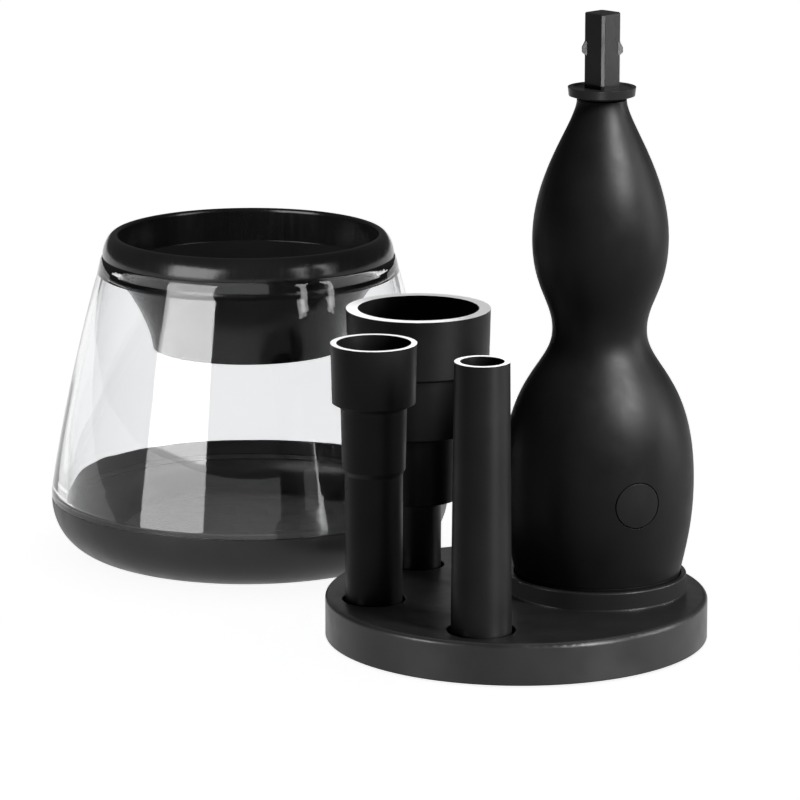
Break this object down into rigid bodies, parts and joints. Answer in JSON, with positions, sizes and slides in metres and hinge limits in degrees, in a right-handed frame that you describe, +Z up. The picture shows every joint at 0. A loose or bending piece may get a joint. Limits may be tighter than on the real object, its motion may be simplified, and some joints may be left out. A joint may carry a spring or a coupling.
{
  "type": "brush cleaner",
  "caption": "Tabletop make-up brush cleaner: round stand with a battery spinner handle and stepped collets, beside a clear splash bowl with a black funnel ring.",
  "frame": {"origin": "centre of the stand's foot, on the table", "axes": "+Z up, -Y towards the front, where the smallest collet stands, +X to the handle's side"},
  "size_m": [0.2187, 0.2397, 0.2012],
  "materials": {
    "stand_black": "satin black",
    "rubber_black": "matte black",
    "ballast_steel": "zinc plated",
    "screw_steel": "zinc plated",
    "handle_black": "satin black",
    "button_black": "satin black",
    "spindle_black": "satin black",
    "tray_grey": "moulded",
    "cell_jacket": "printed jacket",
    "contact_nickel": "nickel plated",
    "board_green": "solder mask",
    "motor_steel": "plated",
    "motor_magnet": "sintered",
    "motor_copper": "enamelled",
    "bush_bronze": "sintered",
    "wire_red": "smooth",
    "wire_black": "smooth",
    "collet_black": "satin black",
    "bowl_black": "satin black",
    "mat_black": "textured",
    "bowl_clear": "clear, polished",
    "ring_gloss": "high gloss black"
  },
  "bodies": {
    "stand": {"stand_top": "stand_black", "stand_cover": "stand_black", "stand_foot_ring": "rubber_black", "stand_ballast": "ballast_steel", "stand_cover_screws": "screw_steel"},
    "handle": {"handle_front_shell": "handle_black", "handle_rear_shell": "handle_black", "housing_screws": "screw_steel", "battery_tray": "tray_grey", "battery_cells": "cell_jacket", "positive_contact": "contact_nickel", "negative_contact": "contact_nickel", "tact_switch": "tray_grey", "switch_board": "board_green", "board_screws": "screw_steel", "motor_can": "motor_steel", "motor_end_cap": "tray_grey", "motor_magnets": "motor_magnet", "motor_terminals": "contact_nickel", "battery_lead_black": "wire_black", "motor_lead_black": "wire_black", "motor_lead_red": "wire_red", "spindle_bush": "bush_bronze", "shaft_seal": "rubber_black"},
    "battery_door": {"battery_cap": "handle_black", "cap_seal": "rubber_black", "cap_contact": "contact_nickel", "cap_spring": "contact_nickel"},
    "button": {"power_button": "button_black", "switch_plunger": "tray_grey"},
    "spinner": {"spindle": "spindle_black", "motor_shaft": "motor_steel", "motor_armature": "motor_steel", "motor_windings": "motor_copper", "motor_commutator": "motor_copper"},
    "collet_large": {"large_collet": "collet_black"},
    "collet_medium": {"medium_collet": "collet_black"},
    "collet_small": {"small_collet": "collet_black"},
    "bowl": {"bowl_base": "bowl_black", "bowl_foot_ring": "rubber_black", "bowl_gasket": "rubber_black", "scrub_mat": "mat_black", "bowl_wall": "bowl_clear"},
    "splash_guard": {"splash_ring": "ring_gloss"}
  },
  "joints": [
    {"name": "handle_lift", "type": "slide", "parent": "stand", "child": "handle", "axis": [0, 0, 1], "range_m": [0, 0.12]},
    {"name": "spindle_spin", "type": "hinge", "parent": "handle", "child": "spinner", "pos_m": [0.0262, 0.00429, 0.175], "axis": [0, 0, 1], "continuous": true},
    {"name": "button_press", "type": "slide", "parent": "handle", "child": "button", "axis": [-0.3746, 0.9272, 0], "range_m": [0, 0.001], "stiffness_N_per_m": 400},
    {"name": "battery_cap_twist", "type": "hinge", "parent": "handle", "child": "battery_door", "pos_m": [0.0262, 0.00429, 0.018], "axis": [0, 0, -1], "range_deg": [0, 50]},
    {"name": "large_collet_lift", "type": "slide", "parent": "stand", "child": "collet_large", "axis": [0, 0, 1], "range_m": [0, 0.1]},
    {"name": "medium_collet_lift", "type": "slide", "parent": "stand", "child": "collet_medium", "axis": [0, 0, 1], "range_m": [0, 0.1]},
    {"name": "small_collet_lift", "type": "slide", "parent": "stand", "child": "collet_small", "axis": [0, 0, 1], "range_m": [0, 0.1]},
    {"name": "bowl_lift", "type": "slide", "parent": "stand", "child": "bowl", "axis": [0, 0, 1], "range_m": [0, 0.12]},
    {"name": "splash_ring_lift", "type": "slide", "parent": "bowl", "child": "splash_guard", "axis": [0, 0, 1], "range_m": [0, 0.07]}
  ]
}
